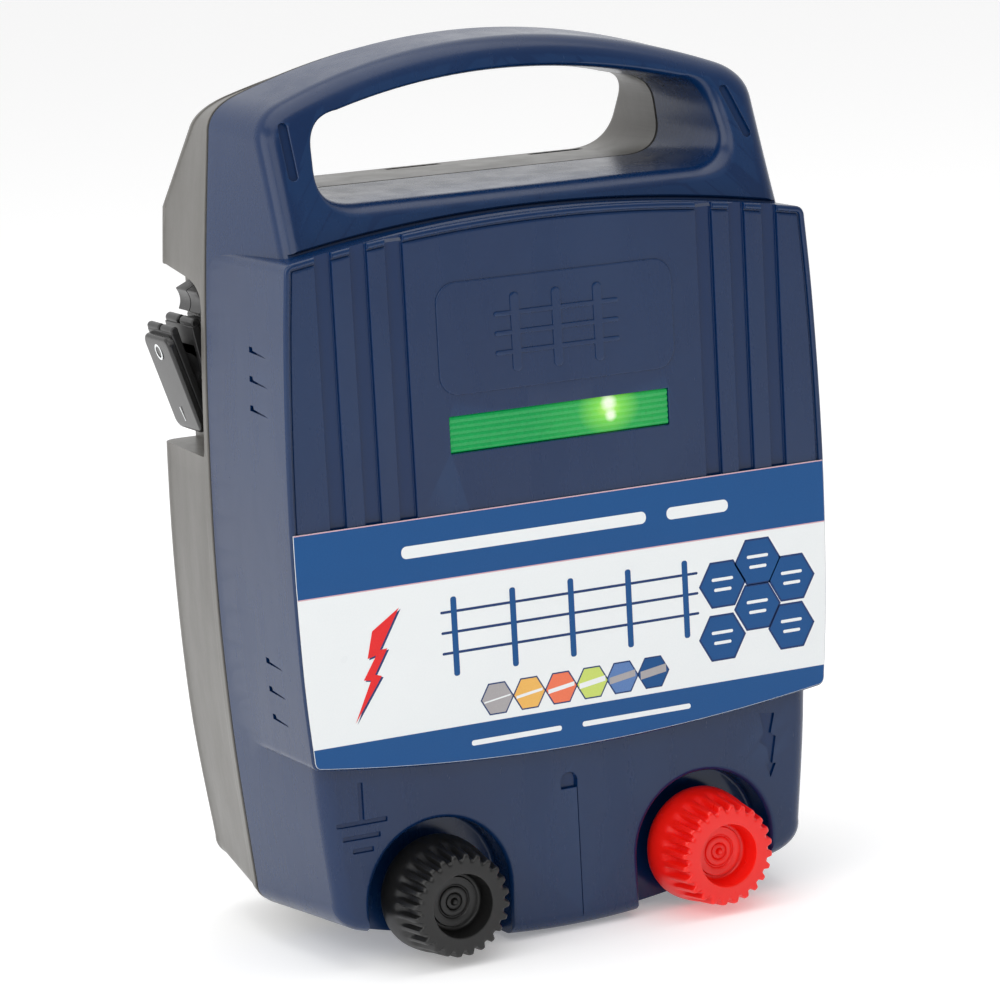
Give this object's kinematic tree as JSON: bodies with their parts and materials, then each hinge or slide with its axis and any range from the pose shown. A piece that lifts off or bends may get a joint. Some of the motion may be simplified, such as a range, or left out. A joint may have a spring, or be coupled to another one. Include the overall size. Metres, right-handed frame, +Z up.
{
  "type": "fence energizer",
  "caption": "Electric fence energizer in a two-shell plastic case with a carry handle, raised front panel, lit display, side rocker switch and recessed earth and fence terminals with hand knobs.",
  "frame": {"origin": "middle of the flat rear face, which hangs against a wall or post", "axes": "+X to the right of a person facing the panel, front faces -Y, +Z up along the case"},
  "size_m": [0.2112, 0.124, 0.3059],
  "materials": {
    "shell_navy": "satin",
    "shell_grey": "satin",
    "gasket_black": "matte",
    "label_print": "satin",
    "plate_blank": "brushed",
    "lens_green": "clear, lit from behind",
    "lamp_clear": "clear",
    "board_green": "satin",
    "steel": "zinc plated",
    "brass": "satin",
    "core_iron": "varnished",
    "copper_winding": "enamelled copper",
    "can_blue": "gloss",
    "sink_alloy": "satin",
    "plastic_black": "satin",
    "rocker_black": "gloss",
    "knob_black": "satin",
    "knob_red": "satin"
  },
  "bodies": {
    "case": {"front_shell": "shell_navy", "rear_shell": "shell_grey", "case_gasket": "gasket_black", "handle_gasket": "gasket_black", "front_label": "label_print", "rating_plate": "plate_blank", "display_lens": "lens_green", "display_board": "board_green", "display_lamp_1": "lamp_clear", "display_lamp_2": "lamp_clear", "display_lamp_3": "lamp_clear", "display_lamp_4": "lamp_clear", "display_lamp_5": "lamp_clear", "main_board": "board_green", "board_screw_1": "steel", "board_screw_2": "steel", "board_screw_3": "steel", "board_screw_4": "steel", "pulse_core": "core_iron", "pulse_coil": "copper_winding", "storage_capacitor": "can_blue", "supply_transformer": "core_iron", "heat_sink": "sink_alloy", "thyristor": "plastic_black", "earth_bush": "plastic_black", "earth_stud": "brass", "earth_nut": "brass", "earth_tag": "brass", "fence_bush": "plastic_black", "fence_stud": "brass", "fence_nut": "brass", "fence_tag": "brass", "switch_body": "plastic_black", "rocker_pin": "steel", "switch_tab_1": "brass", "switch_tab_2": "brass", "switch_tab_3": "brass", "lead_clamp": "plastic_black", "lead_gland": "plastic_black", "case_screw_1": "steel", "case_screw_2": "steel", "case_screw_3": "steel", "case_screw_4": "steel", "case_screw_5": "steel", "case_screw_6": "steel"},
    "earth_clamp": {"earth_washer": "steel"},
    "earth_handwheel": {"earth_knob": "knob_black"},
    "fence_clamp": {"fence_washer": "steel"},
    "fence_handwheel": {"fence_knob": "knob_red"},
    "switch_rocker": {"rocker": "rocker_black"},
    "switch_contact": {"contact_arm": "brass"}
  },
  "joints": [
    {"name": "earth_lift", "type": "slide", "parent": "case", "child": "earth_clamp", "axis": [0, -1, 0], "range_m": [0, 0.00375]},
    {"name": "earth_turn", "type": "hinge", "parent": "earth_clamp", "child": "earth_handwheel", "pos_m": [-0.052, -0.11, -0.109], "axis": [0, -1, 0], "range_deg": [0, 1080]},
    {"name": "fence_lift", "type": "slide", "parent": "case", "child": "fence_clamp", "axis": [0, -1, 0], "range_m": [0, 0.00375]},
    {"name": "fence_turn", "type": "hinge", "parent": "fence_clamp", "child": "fence_handwheel", "pos_m": [0.05, -0.11, -0.109], "axis": [0, -1, 0], "range_deg": [0, 1080]},
    {"name": "rocker_swing", "type": "hinge", "parent": "case", "child": "switch_rocker", "pos_m": [-0.0948, -0.023, 0.0641], "axis": [0, 1, 0], "range_deg": [0, 10]},
    {"name": "contact_tip", "type": "hinge", "parent": "case", "child": "switch_contact", "pos_m": [-0.08254, -0.023, 0.06593], "axis": [0, 1, 0], "range_deg": [-6, 0]}
  ],
  "couplings": [
    {"joint": "earth_turn", "follows": "earth_lift", "rad_per_m": 5026.5},
    {"joint": "fence_turn", "follows": "fence_lift", "rad_per_m": 5026.5},
    {"joint": "contact_tip", "follows": "rocker_swing", "ratio": -0.6}
  ]
}
